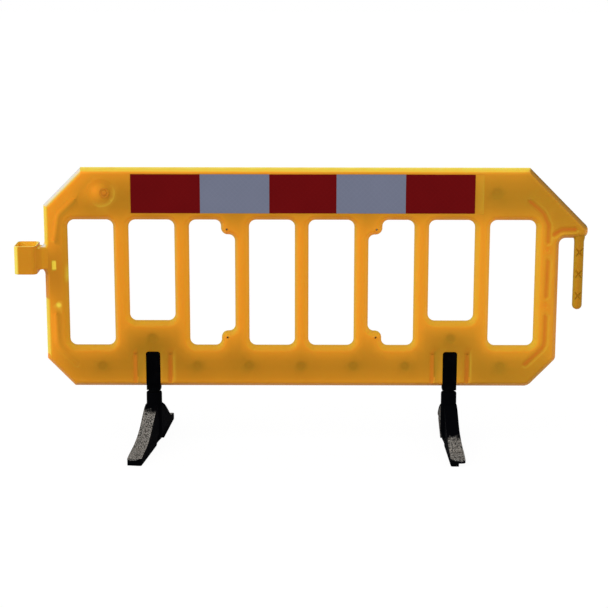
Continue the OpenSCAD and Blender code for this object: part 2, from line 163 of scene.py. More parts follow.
def channel(corners, r):
    """Outline of a channel of half width r along a line with rounded corners."""
    path = rounded(corners, 4)
    steps = [(b - a).normalized() for a, b in zip(path, path[1:])]
    right = []
    for i, p in enumerate(path):
        a, b = steps[max(i - 1, 0)], steps[min(i, len(steps) - 1)]
        n1, n2 = Vector((a.y, -a.x)), Vector((b.y, -b.x))
        right.append((p, (n1 + n2) / (1 + n1.dot(n2)) * r))
    end = math.atan2(steps[-1].y, steps[-1].x)
    start = math.atan2(steps[0].y, steps[0].x)
    caps = []
    for p, first in ((path[-1], end - math.pi / 2), (path[0], start + math.pi / 2)):
        angles = [first + k * math.pi / 6 for k in range(1, 6)]
        caps.append([Vector((p.x + r * math.cos(a), p.y + r * math.sin(a))) for a in angles])
    return [p + n for p, n in right] + caps[0] + [p - n for p, n in reversed(right)] + caps[1]


def joined(pieces):
    """The pieces as one object."""
    bpy.ops.object.select_all(action="DESELECT")
    for piece in pieces:
        piece.select_set(True)
    bpy.context.view_layer.objects.active = pieces[0]
    if len(pieces) > 1:
        bpy.ops.object.join()
    return pieces[0]


def combine(piece, tools, operation):
    """Cuts the tools out of the piece, or welds them to it."""
    tool = joined(tools)
    bpy.ops.object.select_all(action="DESELECT")
    piece.select_set(True)
    bpy.context.view_layer.objects.active = piece
    bpy.ops.object.modifier_add(type="BOOLEAN")
    step = piece.modifiers[-1]
    step.operation, step.solver, step.object = operation, "EXACT", tool
    bpy.ops.object.modifier_apply(modifier=step.name)
    bpy.data.objects.remove(tool)


def finished(piece, material, body, nodes, x=PANEL_MID, turn=0.0):
    """Gives a piece its material, place and smooth shading, ties it to its body and hides its CAD nodes."""
    piece.data.materials.clear()
    piece.data.materials.append(material)
    bpy.ops.object.select_all(action="DESELECT")
    piece.select_set(True)
    bpy.context.view_layer.objects.active = piece
    piece.location = Vector((x, 0, 0)) / 1000
    piece.rotation_euler.z = math.radians(turn)
    bpy.ops.object.transform_apply(location=True, rotation=True, scale=True)
    bpy.ops.object.shade_smooth_by_angle(angle=math.radians(40))
    bpy.ops.object.modifier_add(type="WEIGHTED_NORMAL")
    step = piece.modifiers[-1]
    step.keep_sharp, step.weight = True, 80
    bpy.ops.object.modifier_apply(modifier=step.name)
    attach(piece, body)
    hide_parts(*nodes)


# The upper right corner slopes at 45 degrees from the top rail to the tip of the arm
outline = rounded([
    (-HALF_W + LOW_CUT, LOW, 0), (HALF_W - LOW_CUT, LOW, LOW_R), (HALF_W, LOW + END_CUT, END_R),
    (HALF_W, ARM_LOW, ARM_PIT_R), (ARM_TIP, ARM_LOW, ARM_R), (ARM_TIP, ARM_TOP, ARM_R),
    (ARM_TIP - (TOP - ARM_TOP), TOP, 0), (-HALF_W + TOP_CUT, TOP, 0), (-HALF_W, TOP - TOP_CUT, 0),
    (-HALF_W, NECK_TOP, NECK_R), (NECK_TIP, NECK_TOP, 0), (NECK_TIP, NECK_LOW, 0),
    (-HALF_W, NECK_LOW, NECK_R), (-HALF_W, LOW + END_CUT, 0)], 8)
panel = drafted_block("panel_moulding", outline, profile([
    (BORDER + LEAD, HALF_T, 0), (BORDER, HALF_T, FACE_R), (0, 0, PARTING_R), (BORDER, -HALF_T, FACE_R),
    (BORDER + LEAD, -HALF_T, 0)]))

mouth = overrun(profile([
    (-BORDER - LEAD, HALF_T + LIFT, 0), (-BORDER, HALF_T + LIFT, FACE_R), (0, 0, PARTING_R),
    (-BORDER, -HALF_T - LIFT, FACE_R), (-BORDER - LEAD, -HALF_T - LIFT, 0)]))
window_lines = []
tools = []
for i, x in enumerate(WINDOW_MIDS):
    low = FOOT_WINDOW_LOW if x in FOOT_MIDS else WINDOW_LOW
    left, right = x - WINDOW_W / 2, x + WINDOW_W / 2
    if i in (LOBE_LEFT, LOBE_RIGHT):
        # Two corners of these windows keep a lobe for a sign hole
        line = [
            (left + LOBE_W, low, LOBE_R), (right, low, WINDOW_R), (right, WINDOW_TOP, WINDOW_R),
            (left + LOBE_W, WINDOW_TOP, LOBE_R), (left + LOBE_W, WINDOW_TOP - LOBE_H, LOBE_PIT_R),
            (left, WINDOW_TOP - LOBE_H, LOBE_R), (left, low + LOBE_H, LOBE_R),
            (left + LOBE_W, low + LOBE_H, LOBE_PIT_R)]
        if i == LOBE_RIGHT:
            line = [(2 * x - a, b, r) for a, b, r in reversed(line)]
    else:
        places = ((left, low), (right, low), (right, WINDOW_TOP), (left, WINDOW_TOP))
        line = [(a, b, WINDOW_R) for a, b in places]
    window_lines.append(rounded(line, 7))
    tools.append(drafted_block("window", window_lines[-1], mouth))
combine(panel, tools, "DIFFERENCE")

# Dents in the walls: a tack goes through to the front wall, the rest are shallow
TACK_R, TACK_FRONT, TACK_REAR = 20.0, [8, (9, 1.2, 8), (18.5, 1.2, 0)], [5, (12, 42, 4), (18, 42, 0)]
MARK_HALF, MARK = 15.0, [14, (8, 2, 12), (11, 2, 0), (14.3, 2, 0)]
DIMPLE_R, DIMPLE = 11.0, [4, (4, 1.5, 4), (10, 1.5, 0)]
SLOT_HALF_W, SLOT_HALF_H, SLOT_R, SLOT = 9.0, 19.0, 5.0, [2, (1.5, 3, 2), (4.5, 3, 0)]
GROOVE_OFF, GROOVE_HALF, GROOVE_TOP, GROOVE_R, GROOVE = 64.0, 12.0, 350.0, 8.0, [8, (7, 3, 6), (10, 3, 0)]
RECESS_MID, RECESS_HALF, RECESS_LOW, RECESS_TOP = 18.5, 636.0, 860.5, 1007.5
RECESS_R, RECESS = 2.0, [0.5, (0.6, 1, 0), (1.5, 1, 0)]
DISH_R, DISH = 51.0, [12, (16, 4, 20), (26, 4, 0), (35, 4, 0), (47, 4, 0)]
dish = (-721.0, 936.0)
tacks = [(x, 297.0) for x in (-727, -380, -190, 0, 190, 380, 727)]
tacks += [(x, 403.0) for x in FOOT_MIDS] + [(702.0, dish[1])]
left_marks = [
    [(-823, 909, 0), (-878, 857, 40), (-893, 767, 0)],
    [(-895, 483, 0), (-891, 371, 50), (-823, 303, 0)]]
right_marks = [
    [(823, 909, 0), (871, 868, 40), (892, 823, 30), (891, 760, 0)],
    [(893, 688, 0), (890, 559, 0)],
    [(890, 483, 0), (889, 371, 50), (820, 303, 0)]]
arm_mark = [(912, 787, 0), (936, 803, 25), (984, 805, 0)]
dimples = [(887.0, 731.0), (886.0, 524.0), (-883.0, 525.0)]
slot = (-896.0, 672.0)
slot_line = box(slot[0], SLOT_HALF_W, slot[1] - SLOT_HALF_H, slot[1] + SLOT_HALF_H, SLOT_R, SLOT_R)
recess_line = box(RECESS_MID, RECESS_HALF, RECESS_LOW, RECESS_TOP, RECESS_R, RECESS_R)
# The arm's mark and the dimples reach into other dents, so they are cut after those
tools, later = [], []
for side in (-1, 1):
    for x, z in tacks:
        tools.append(dent(circle(x, z, TACK_R), TACK_FRONT if side < 0 else TACK_REAR, side))
    for path in left_marks + right_marks:
        tools.append(dent(channel(path, MARK_HALF), MARK, side))
    later.append(dent(channel(arm_mark, MARK_HALF), MARK, side))
    for x, z in dimples:
        later.append(dent(circle(x, z, DIMPLE_R), DIMPLE, side))
    tools.append(dent(slot_line, SLOT, side))
    for x in FOOT_MIDS:
        for mid in (x - GROOVE_OFF, x + GROOVE_OFF):
            line = box(mid, GROOVE_HALF, BELOW, GROOVE_TOP, 0, GROOVE_R)
            tools.append(dent(line, GROOVE, side))
    tools.append(dent(recess_line, RECESS, side))
tools.append(dent(circle(*dish, DISH_R, 48), DISH, -1))
lip = overrun(edged(HALF_T + LIFT, -HALF_T - LIFT, LIP_R, -LEAD))
for x in FOOT_MIDS:
    tools.append(drafted_block("notch", box(x, NOTCH_HALF, BELOW, NOTCH_TOP, 0, NOTCH_R), lip))
combine(panel, tools, "DIFFERENCE")
combine(panel, later, "DIFFERENCE")
through = [(0, HALF_T + OVERRUN), (0, -HALF_T - OVERRUN)]
tools = [drafted_block("sign_hole", circle(s * SIGN_X, SIGN_Z + t * SIGN_RISE, SIGN_R, 20), through)
         for s in (-1, 1) for t in (-1, 1)]
combine(panel, tools, "DIFFERENCE")

# Light that falls in through the borders spreads inside the hollow wall, so the plastic is palest near the
# borders and darkest where the walls are pinched. That light and shade is painted: the faces are divided to
# carry it as attributes, with one more cut at the lower end of a stretch of painted shade under the eye.
GRID, DARK_LOW = 28.5, 548.0
POINT_STEP, CORE, RIM_REACH, WINDOW_REACH, OUTER_W = 6.0, 4.0, 45.0, 30.0, 24.0
step = GRID / 1000
planes = [((k * step, 0, 0), (1, 0, 0)) for k in range(-34, 38)]
planes += [((0, 0, (LOW + 13) / 1000 + k * step), (0, 0, 1)) for k in range(29)]
planes.append(((0, 0, (DARK_LOW + 3) / 1000), (0, 0, 1)))
mesh = bmesh.new()
mesh.from_mesh(panel.data)
for place, normal in planes:
    everything = mesh.verts[:] + mesh.edges[:] + mesh.faces[:]
    bmesh.ops.bisect_plane(mesh, geom=everything, plane_co=place, plane_no=normal)
mesh.to_mesh(panel.data)
mesh.free()


def shade_walls(piece, light, hue=0.0, outer=0.0):
    """Writes each vertex's painted light, its painted turn to red or yellow, and how far out on an outer
    border it is.
    """
    for name, value in (("wall_light", light), ("wall_hue", hue), ("outer_border", outer)):
        values = np.broadcast_to(np.asarray(value, dtype=np.float32), len(piece.data.vertices))
        attribute = piece.data.attributes.new(name, "FLOAT", "POINT")
        attribute.data.foreach_set("value", np.ascontiguousarray(values))


def spread(line):
    """Points every few millimetres along a closed line, each with the direction of the line."""
    return [(*a.lerp(b, k / n), *(b - a).normalized()) for a, b in zip(line, line[1:] + line[:1])
            for n in [max(1, int((b - a).length / POINT_STEP))] for k in range(n)]


def glow(points, line, power, reach):
    """Light that comes to the points from all along a line and fades over its reach. CORE keeps it finite."""
    r = np.sqrt(((points[:, None, :] - line[None, :, :2]) ** 2).sum(2)) + CORE
    return (np.exp(-r / reach) / r * power).sum(1)


def beside(points, corners):
    """Signed distance of points from a line with rounded corners, positive on its right."""
    line = rounded(corners, 6)
    best = np.full(len(points), 1e9)
    signed = np.full(len(points), 1e9)
    for a, b in zip(line, line[1:]):
        d = (b - a).normalized()
        off = points - np.array(a)
        along = np.clip(off @ np.array(d), 0, (b - a).length)
        r = np.hypot(*(off - along[:, None] * np.array(d)).T)
        side = np.sign(off @ np.array((d.y, -d.x)))
        signed = np.where(r < best, r * side, signed)
        best = np.minimum(r, best)
    return signed


def ridge(distance, middle, width):
    """A soft band, one along its middle."""
    return np.exp(-((distance - middle) / width) ** 2)


def spot(x, z, wide, high, power=2):
    """A soft spot on the faces, one at its middle."""
    return np.exp(-(abs(flat[:, 0] - x) / wide) ** power - (abs(flat[:, 1] - z) / high) ** power)


co = np.empty(len(panel.data.vertices) * 3)
panel.data.vertices.foreach_get("co", co)
co = co.reshape(-1, 3) * 1000
flat = co[:, [0, 2]]
rim = np.array(spread(outline))
holes = np.array([p for line in window_lines for p in spread(line)])
# Painted light from the outline and the windows: the chamfer and the left end pass most light, but for the
# dark stretch of painted shade under the eye. Window sides pass more than tops.
CLOSE = 2.0
x, z = rim[:, 0], rim[:, 1]
on_neck, on_left = x < -HALF_W - CLOSE, x < -HALF_W + CLOSE
on_chamfer = (x < -HALF_W + 150) & (z > 870)
on_top = z > TOP - CLOSE
on_right, on_arm = (x > HALF_W - CLOSE) & (z < ARM_LOW), x > 800
in_dark = (z > DARK_LOW) & (z < NECK_LOW)
rim_power = np.select(
    [on_neck, on_chamfer, on_left, on_top, on_right, on_arm],
    [0.2, 2.2, np.where(in_dark, 0.15, 1.7), np.where(x < 0, 0.9, 0.5), 0.55, 0.05],
    np.where(x > 600, 0.1, 0.5))
x, z, upright = holes[:, 0], holes[:, 1], abs(holes[:, 3]) > 0.7
side_power, end_power = np.where(x < -840, 0.4, 1.5), np.where(z > WINDOW_TOP - 30, 0.35, 1.2)
hole_power = np.where(upright, side_power, end_power)
light = np.concatenate([
    glow(part, rim, rim_power, RIM_REACH) + glow(part, holes, hole_power, WINDOW_REACH)
    for part in np.array_split(flat, max(1, len(flat) // 2000))])
light = 1 - np.exp(-4.3 * light)
light += 0.06 * np.clip(flat[:, 0] / HALF_W, -0.3, 0.6)
hue = 0.05 * np.clip(flat[:, 0] / HALF_W, 0, 1)
# Painted highlight on one flank of each mark and painted shade on the other: those on the left fade out
# towards their lower ends
fade = np.clip((flat[:, 1] - 345) / 60, 0, 1)
for path in left_marks:
    d = beside(flat, path)
    light += (0.35 * ridge(d, 7, 9) - 0.36 * ridge(d, -10, 8)) * fade
for path in right_marks:
    d = beside(flat, path)
    hue += 0.10 * ridge(d, -11, 4) - 0.55 * ridge(d, 3, 6)
d = beside(flat, arm_mark)
hue += 0.12 * ridge(d, 12, 4) - 0.75 * ridge(d, -2, 6)
# Soft spots of painted light and shade: place, half width, half height and sharpness, then what they add to
# the light and to the hue. Tacks get painted shade, the dimples, the slot, a spot by the neck and a spot
# beside the first window get painted light, the border under the eye is redder with painted shade, and the
# bands beside the notches paint light and shade in the flank grooves.
GROOVE_MID, GROOVE_HALF_H = 280, 70
groove_bands = [(-66, 8, 0.25, -0.45), (62, 9, 0, -0.50), (-55, 5, -0.25, 0), (-40, 13, 0, 0.10),
                (40, 13, 0, 0.10), (76, 6, 0, 0.16)]
spots = [(x, z, wide, wide, 2, added, 0) for x, z in tacks for wide, added in ((15, -0.30), (50, -0.05))]
spots += [(x, z, DIMPLE_R, DIMPLE_R, 2, 0.30, -0.30) for x, z in dimples[:2]]
spots += [
    (*dimples[2], 9, 9, 2, 0, 1.3), (*slot, 8, 17, 6, 0, 1.4), (-848, 640, 10, 22, 2, 0, 0.7),
    (-890, 650, 45, 120, 2, 0, -0.12), (-885, 735, 14, 14, 2, 0.12, 0)]
spots += [(x + aside, GROOVE_MID, wide, GROOVE_HALF_H, 4, lighter, yellower)
          for x in FOOT_MIDS for aside, wide, lighter, yellower in groove_bands]
for x, z, wide, high, power, lighter, yellower in spots:
    here = spot(x, z, wide, high, power)
    light += lighter * here
    hue += yellower * here
# Painted light in the dish: a pale painted highlight on the left and a yellow painted highlight along the rim
# at the lower right
off = (flat - np.array(dish)) / DISH_R
r = np.hypot(*off.T)
light += 0.70 * spot(dish[0] - 22, dish[1] + 7, 30, 34) * (r < 1.1)
hue += 0.30 * ridge(r, 0.92, 0.08) * np.clip((off[:, 0] - off[:, 1]) * 1.2, 0, 1)
# The bare floor of the recess beside the last sheet is a little yellower, with a painted highlight at its
# right edge
on_floor = abs(co[:, 1]) < HALF_T - 0.3
at_end = flat[:, 0] > RECESS_MID + RECESS_HALF - 2.5
hue += (0.03 + 0.12 * at_end) * spot(640, (RECESS_LOW + RECESS_TOP) / 2, 20, 73, 8) * on_floor
near = np.full(len(flat), 1e9)
for part in np.array_split(rim[:, :2], 20):
    near = np.minimum(near, np.sqrt(((flat[:, None, :] - part[None]) ** 2).sum(2)).min(1))
outer = np.clip(1 - near / OUTER_W, 0, 1)
# Painted shade under the eye: the border there gets a low share and stays orange instead of yellow
outer[(flat[:, 0] < -HALF_W + OUTER_W - 1) & (flat[:, 1] > DARK_LOW) & (flat[:, 1] < NECK_LOW)] = 0.1
shade_walls(panel, np.clip(light, 0, 1.0), np.clip(hue, -1, 1), outer)


def srgb(code):
    """Linear colour of an sRGB hex value."""
    parts = [int(code[i:i + 2], 16) / 255 for i in (1, 3, 5)]
    return (*[p / 12.92 if p <= 0.04045 else ((p + 0.055) / 1.055) ** 2.4 for p in parts], 1.0)


def add_node(tree, kind, inputs={}, stops=(), **settings):
    """Adds a node, sets its settings and its ramp's stops, and fills its inputs with values or links."""
    made = tree.nodes.new("ShaderNode" + kind)
    for key, value in settings.items():
        setattr(made, key, value)
    elements = made.color_ramp.elements if stops else []
    while len(elements) < len(stops):
        elements.new(1.0)
    for element, (position, code) in zip(elements, stops):
        element.position, element.color = position, srgb(code)
    for key, value in inputs.items():
        if isinstance(value, bpy.types.NodeSocket):
            tree.links.new(value, made.inputs[key])
        else:
            made.inputs[key].default_value = value
    return made


def new_material(name):
    """An empty node material and the output that its shader goes to."""
    made = bpy.data.materials.new(name)
    made.use_nodes = True
    made.node_tree.nodes.clear()
    return made, made.node_tree, made.node_tree.nodes.new("ShaderNodeOutputMaterial")


# Orange high-density polyethylene, blow-moulded: a waxy, slightly see-through skin with a fine matt grain. It
# is painted yellow where light comes through from behind, at the outer borders above and on the left, and
# redder where shade is painted. The real grain is about 0.3 mm wide and is drawn at 2.4 mm so that it shows.
# In all the materials, a Map Range takes a value, the two ends that it runs between and the two that it runs
# to, and a colour Mix takes its share at 0 and its colours at 6 and 7.
PATCH, RIPPLE, GRAIN = 91.0, 38.5, 2.4
orange, tree, out = new_material("orange_polyethylene_blow_moulded")
place = add_node(tree, "TexCoord").outputs["Object"]
passed, turned, outer = [add_node(tree, "Attribute", attribute_name=n).outputs["Fac"]
                         for n in ("wall_light", "wall_hue", "outer_border")]
patches = add_node(tree, "TexNoise", {
    "Vector": place, "Scale": 1000 / PATCH, "Detail": 2.0, "Roughness": 0.5})
stirred = add_node(tree, "Math", {0: patches.outputs["Fac"], 1: 0.08, 2: -0.04}, operation="MULTIPLY_ADD")
depth = add_node(tree, "Math", {0: passed, 1: stirred.outputs[0]}, operation="ADD")
lit_wall_colour = add_node(tree, "ValToRGB", {"Fac": depth.outputs[0]}, [
    (0.0, "#A67311"), (0.15, "#BB7D16"), (0.45, "#D28A1B"), (0.85, "#E99520"), (1.0, "#F59B25")]).outputs[0]
# The hue turns the walls red where shade is painted and yellow where light is painted
for end, code in ((-1.0, "#C8601A"), (1.0, "#F2DA48")):
    share = add_node(tree, "MapRange", {0: turned, 1: 0.0, 2: end}).outputs[0]
    lit_wall_colour = add_node(tree, "Mix", {
        0: share, 6: lit_wall_colour, 7: srgb(code)}, data_type="RGBA").outputs[2]
# Painted light on the outer borders: yellow edges, a pale highlight on the chamfer, brown shade on the right
# slope, and the top edge a little dimmer
lit_edge_colour = add_node(tree, "ValToRGB", {"Fac": outer}, [
    (0.1, "#D68C22"), (0.3, "#DEA526"), (0.5, "#F0C43B"), (0.72, "#E8C840"), (0.92, "#F0DC62")]).outputs[0]
chamfer_highlight = add_node(tree, "ValToRGB", {"Fac": outer}, [
    (0.3, "#E39A26"), (0.4, "#C89A3C"), (0.55, "#DCC68A"), (0.72, "#D6D0B8"), (0.9, "#CBC9C8")]).outputs[0]
slope_shade = add_node(tree, "ValToRGB", {"Fac": outer}, [
    (0.3, "#A8741C"), (0.6, "#A06E18"), (0.8, "#8E651C"), (0.95, "#6A5524")]).outputs[0]
lit_top_edge = add_node(tree, "Mix", {
    0: 1.0, 6: lit_edge_colour, 7: (0.82, 0.82, 0.82, 1)}, data_type="RGBA", blend_type="MULTIPLY").outputs[2]
# Where a border slants, where it is far from the faces, and how far to the right it is
facing = add_node(tree, "SeparateXYZ", {0: add_node(tree, "NewGeometry").outputs["Normal"]})
slant = add_node(tree, "Math", {
    0: facing.outputs["X"], 1: facing.outputs["Z"]}, operation="MULTIPLY").outputs[0]
square = add_node(tree, "MapRange", {0: slant, 1: 0.06, 2: 0.02}).outputs[0]
where = add_node(tree, "SeparateXYZ", {0: place})
off_middle = add_node(tree, "Math", {0: where.outputs["Y"]}, operation="ABSOLUTE").outputs[0]
half_down = add_node(tree, "MapRange", {0: off_middle, 1: 0.022, 2: 0.010}).outputs[0]
to_right = add_node(tree, "MapRange", {0: where.outputs["X"], 1: 0.1, 2: 0.7}).outputs[0]
golden = add_node(tree, "Math", {0: half_down, 1: to_right}, operation="MAXIMUM").outputs[0]
# Painted light and shade by the way a border faces, up, down, left or right: the tint of window borders, then
# the colour of outer borders
inner_colour = outer_colour = lit_wall_colour
for axis, sign, light_tint, colour, start in (
        ("Z", 1, (0.75, 0.97, 0.95), lit_top_edge, 0.6), ("Z", -1, (1.16, 1.08, 0.9), srgb("#CC8628"), 0.6),
        ("X", -1, (0.89, 1.18, 1.25), lit_edge_colour, 0.2), ("X", 1, (1.06, 1.18, 1.0), srgb("#D88E28"), 0.6)):
    looks = facing.outputs[axis]
    slight = add_node(tree, "MapRange", {0: looks, 1: 0.1 * sign, 2: 0.8 * sign}).outputs[0]
    steep = add_node(tree, "MapRange", {0: looks, 1: start * sign, 2: (start + 0.22) * sign}).outputs[0]
    if axis == "X" and sign < 0:
        slight = add_node(tree, "Math", {0: slight, 1: golden}, operation="MULTIPLY").outputs[0]
    if axis == "X":
        steep = add_node(tree, "Math", {0: steep, 1: square}, operation="MULTIPLY").outputs[0]
    inner_colour = add_node(tree, "Mix", {
        0: slight, 6: inner_colour, 7: (*light_tint, 1)}, data_type="RGBA", blend_type="MULTIPLY").outputs[2]
    outer_colour = add_node(tree, "Mix", {0: steep, 6: outer_colour, 7: colour}, data_type="RGBA").outputs[2]
# The chamfer on the left carries a pale painted highlight and the slope on the right a brown painted shade
above = add_node(tree, "MapRange", {0: facing.outputs["Z"], 1: 0.1, 2: 0.3}).outputs[0]
for sign, colour in ((-1, chamfer_highlight), (1, slope_shade)):
    share = add_node(tree, "MapRange", {0: slant, 1: 0.18 * sign, 2: 0.32 * sign}).outputs[0]
    share = add_node(tree, "Math", {0: share, 1: above}, operation="MULTIPLY").outputs[0]
    outer_colour = add_node(tree, "Mix", {0: share, 6: outer_colour, 7: colour}, data_type="RGBA").outputs[2]
at_middle = add_node(tree, "MapRange", {0: off_middle, 1: 0.012, 2: 0.003}).outputs[0]
inner_colour = add_node(tree, "Mix", {
    0: at_middle, 6: inner_colour, 7: (0.8, 0.95, 1.4, 1)},
    data_type="RGBA", blend_type="MULTIPLY").outputs[2]
on_border = add_node(tree, "MapRange", {0: outer, 1: 0.01, 2: 0.06}).outputs[0]
skin_colour = add_node(tree, "Mix", {
    0: on_border, 6: inner_colour, 7: outer_colour}, data_type="RGBA").outputs[2]
grain = add_node(tree, "TexNoise", {"Vector": place, "Scale": 1000 / GRAIN, "Detail": 2.0})
ripple = add_node(tree, "TexNoise", {"Vector": place, "Scale": 1000 / RIPPLE, "Detail": 1.0})
relief = add_node(tree, "Math", {
    0: ripple.outputs["Fac"], 1: 6.0, 2: grain.outputs["Fac"]}, operation="MULTIPLY_ADD")
bump = add_node(tree, "Bump", {"Strength": 0.25, "Distance": 0.0004, "Height": relief.outputs[0]})
sheen = add_node(tree, "MapRange", {0: grain.outputs["Fac"], 1: 0.3, 2: 0.7, 3: 0.42, 4: 0.52})
skin = add_node(tree, "BsdfPrincipled", {
    "Base Color": skin_colour, "Roughness": sheen.outputs[0], "IOR": 1.54, "Specular IOR Level": 0.08,
    "Normal": bump.outputs[0], "Subsurface Weight": 0.25, "Subsurface Radius": (1.0, 0.4, 0.08),
    "Subsurface Scale": 0.012})
tree.links.new(skin.outputs[0], out.inputs["Surface"])
finished(panel, orange, "panel", ["panel_front_shell", "panel_rear_shell", "sign_tabs"])


# Link eye
# The loop at the left end that takes the next panel's pin. It is moulded with the panel from the same orange
# polyethylene, open at its top and bottom, and a neck with fillets joins it to the panel.
EYE_X, EYE_TOP, EYE_LOW = -995.5, 746.0, 643.0
EYE_HALF_W, EYE_HALF_D, EYE_R, EYE_BORE = 41.0, 55.0, 18.0, 34.0
BRIM_R, BRIM_WALL, BRIM_SLOPE, BRIM_DROP = 2.0, 6.0, 1.5, 2.0
GUSSET_HALF, GUSSET_EDGE_R = 54.5, 6.0


def eye_ring(e):
    """Outline of the eye in plan, moved inwards by e."""
    return box(EYE_X, EYE_HALF_W - e, e - EYE_HALF_D, EYE_HALF_D - e, EYE_R - e, EYE_R - e)


eye = drafted_block("link_eye_loop", eye_ring(0), edged(EYE_LOW, EYE_TOP, BRIM_R), "Z")
half = [
    (EYE_X, GUSSET_HALF, 0), (EYE_X + 26, GUSSET_HALF, 30), (-HALF_W + 2, 27, 40), (-HALF_W + 18, 24.6, 0)]
gusset = rounded([(x, -y, r) for x, y, r in half] + half[::-1])
tools = [drafted_block("gusset", gusset, edged(NECK_LOW, NECK_TOP, GUSSET_EDGE_R), "Z")]
combine(eye, tools, "UNION")
for z, up in ((EYE_TOP, 1), (EYE_LOW, -1)):
    levels = [(-BRIM_SLOPE, z + up * OVERRUN), (-BRIM_SLOPE, z), (0, z - up * BRIM_DROP), (0, z - up * 25)]
    combine(eye, [drafted_block("mouth", eye_ring(BRIM_WALL), levels, "Z")], "DIFFERENCE")
throat = drafted_block("throat", circle(EYE_X, 0, EYE_BORE, 48), [(0, EYE_TOP), (0, EYE_LOW)], "Z")
combine(eye, [throat], "DIFFERENCE")
# Painted light: the inside of the mouth is bright and yellow, the left side of the eye turns yellow, and all
# but the neck takes the colours of a lit outer border
across = np.array([v.co.x * 1000 - EYE_X + EYE_HALF_W for v in eye.data.vertices])
inside = np.array([abs(v.co.x * 1000 - EYE_X) < EYE_HALF_W - 5 and abs(v.co.y * 1000) < EYE_HALF_D - 5
                   for v in eye.data.vertices])
light = np.where(across > 80, 0.45, np.where(inside, 1.0, 0.36))
hue = np.where(inside, 0.5, np.clip((17 - across) / 6, 0, 1))
shade_walls(eye, light, hue, np.where(across > 84, 0.0, 0.9))
finished(eye, orange, "panel", ["link_eye"])


# Link pin
# The pin that hangs from the arm at the right end. It is moulded with the panel, round with a domed end, and
# three crossed pinch marks on each side hold its two walls together.
PIN_X, PIN_LOW, PIN_R = 1004.5, 507.0, 17.75
CROSS_LEAN, CROSS_HALF_LEN, CROSS_HALF_W = 40, 17, 3.7
dome = [(PIN_R * (1 - math.sin(a)), PIN_LOW + PIN_R * (1 - math.cos(a)))
        for a in (math.radians(t) for t in range(8, 91, 10))]
flare = [(0, ARM_LOW - 12), (-1, ARM_LOW - 6), (-2.5, ARM_LOW), (-3, ARM_LOW + 12)]
pin = drafted_block("link_pin_rod", circle(PIN_X, 0, PIN_R, 40), dome + flare, "Z")
cross_levels = [(-1.5, 30), (-1.5, PIN_R + 0.2), (0, PIN_R - 2.5), (3.4, PIN_R - 6)]
for side in (-1, 1):
    for z in (720, 640, 559):
        for lean in (-CROSS_LEAN, CROSS_LEAN):
            s, c = [CROSS_HALF_LEN * f(math.radians(lean)) for f in (math.sin, math.cos)]
            line = channel([(PIN_X - s, z - c, 0), (PIN_X + s, z + c, 0)], CROSS_HALF_W)
            tools = [drafted_block("mark", line, [(e, side * y) for e, y in cross_levels])]
            combine(pin, tools, "DIFFERENCE")
# Painted shade: the pin darkens from left to right, and its marks are dark and redder
reach = np.array([1000 * math.hypot(v.co.x - PIN_X / 1000, v.co.y) for v in pin.data.vertices])
above_dome = np.array([v.co.z for v in pin.data.vertices]) > 0.53
sunk = (reach < PIN_R - 1.2) & above_dome
across = np.array([v.co.x * 1000 - PIN_X for v in pin.data.vertices]) / PIN_R
shade_walls(pin, np.where(sunk, 0.0, np.clip(0.1 - 0.12 * across, 0, 1)), np.where(sunk, -0.25, 0.0))
finished(pin, orange, "panel", ["link_pin"])


# Dish plug
# The plug that closes the filling hole in the middle of the dish: a turned flange with a raised ring and a
# round nub, of the same orange polyethylene, pressed into the hole.
PLUG_R, PLUG_OFF, PLUG_Y = 18.0, 12.0, 4 - HALF_T
plug_levels = [
    (8, 8.5), (8, 0), (0, 0), (0, -1.4), (0.9, -2.3), (2.2, -2.5), (4.5, -2.3), (6, -1.2), (8, -1.0),
    (9.4, -1.4), (10, -2.6), (10.6, -4.6), (12, -5.4), (15, -5.5), (17, -5.0)]
plug = drafted_block("dish_plug_cap", circle(dish[0] + PLUG_OFF, dish[1], PLUG_R, 40),
                     [(e, PLUG_Y + y) for e, y in plug_levels])
# Painted shade: the plug is dim and redder
shade_walls(plug, 0.35, -0.3)
finished(plug, orange, "panel", ["dish_plug"])


# Reflective sheets
# Five self-adhesive sheets of red and white retroreflective film in the recess on each face. The film is
# smooth, with sealed cells under a clear top layer, and dark unless light comes from where the eye is.
CELL, CLOUD = 14.1, 111.0


def sheeting(name, main, seam_code):
    """Retroreflective film. Its diamond cells are 3 mm in life and are drawn at 14 mm so that they show."""
    made, tree, out = new_material(name)
    place = add_node(tree, "TexCoord").outputs["Object"]
    turned = add_node(tree, "Mapping", {"Vector": place, "Rotation": (0, math.radians(45), 0)})
    cells = add_node(tree, "TexVoronoi", {
        "Vector": turned.outputs[0], "Scale": 1000 / CELL, "Randomness": 0.0}, distance="CHEBYCHEV")
    seam = add_node(tree, "MapRange", {0: cells.outputs["Distance"], 1: 0.42, 2: 0.5, 4: 0.35})
    clouds = add_node(tree, "TexNoise", {"Vector": place, "Scale": 1000 / CLOUD, "Detail": 3.0})
    shade = add_node(tree, "Mix", {
        0: clouds.outputs["Fac"], 6: srgb(main[0]), 7: srgb(main[1])}, data_type="RGBA")
    colour = add_node(tree, "Mix", {
        0: seam.outputs[0], 6: shade.outputs[2], 7: srgb(seam_code)}, data_type="RGBA")
    film = add_node(tree, "BsdfPrincipled", {
        "Base Color": colour.outputs[2], "Roughness": 0.35, "IOR": 1.49, "Specular IOR Level": 0.02})
    tree.links.new(film.outputs[0], out.inputs["Surface"])
    return made


red_film = sheeting("red_retroreflective_film", ("#5E080B", "#690A0D"), "#74100F")
white_film = sheeting("white_retroreflective_film", ("#6B7083", "#71768A"), "#7C8091")
for face in ("front", "rear"):
    for k in range(1, 6):
        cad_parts[f"{face}_sheet_{k}"].material_slots[0].material = red_film if k % 2 else white_film


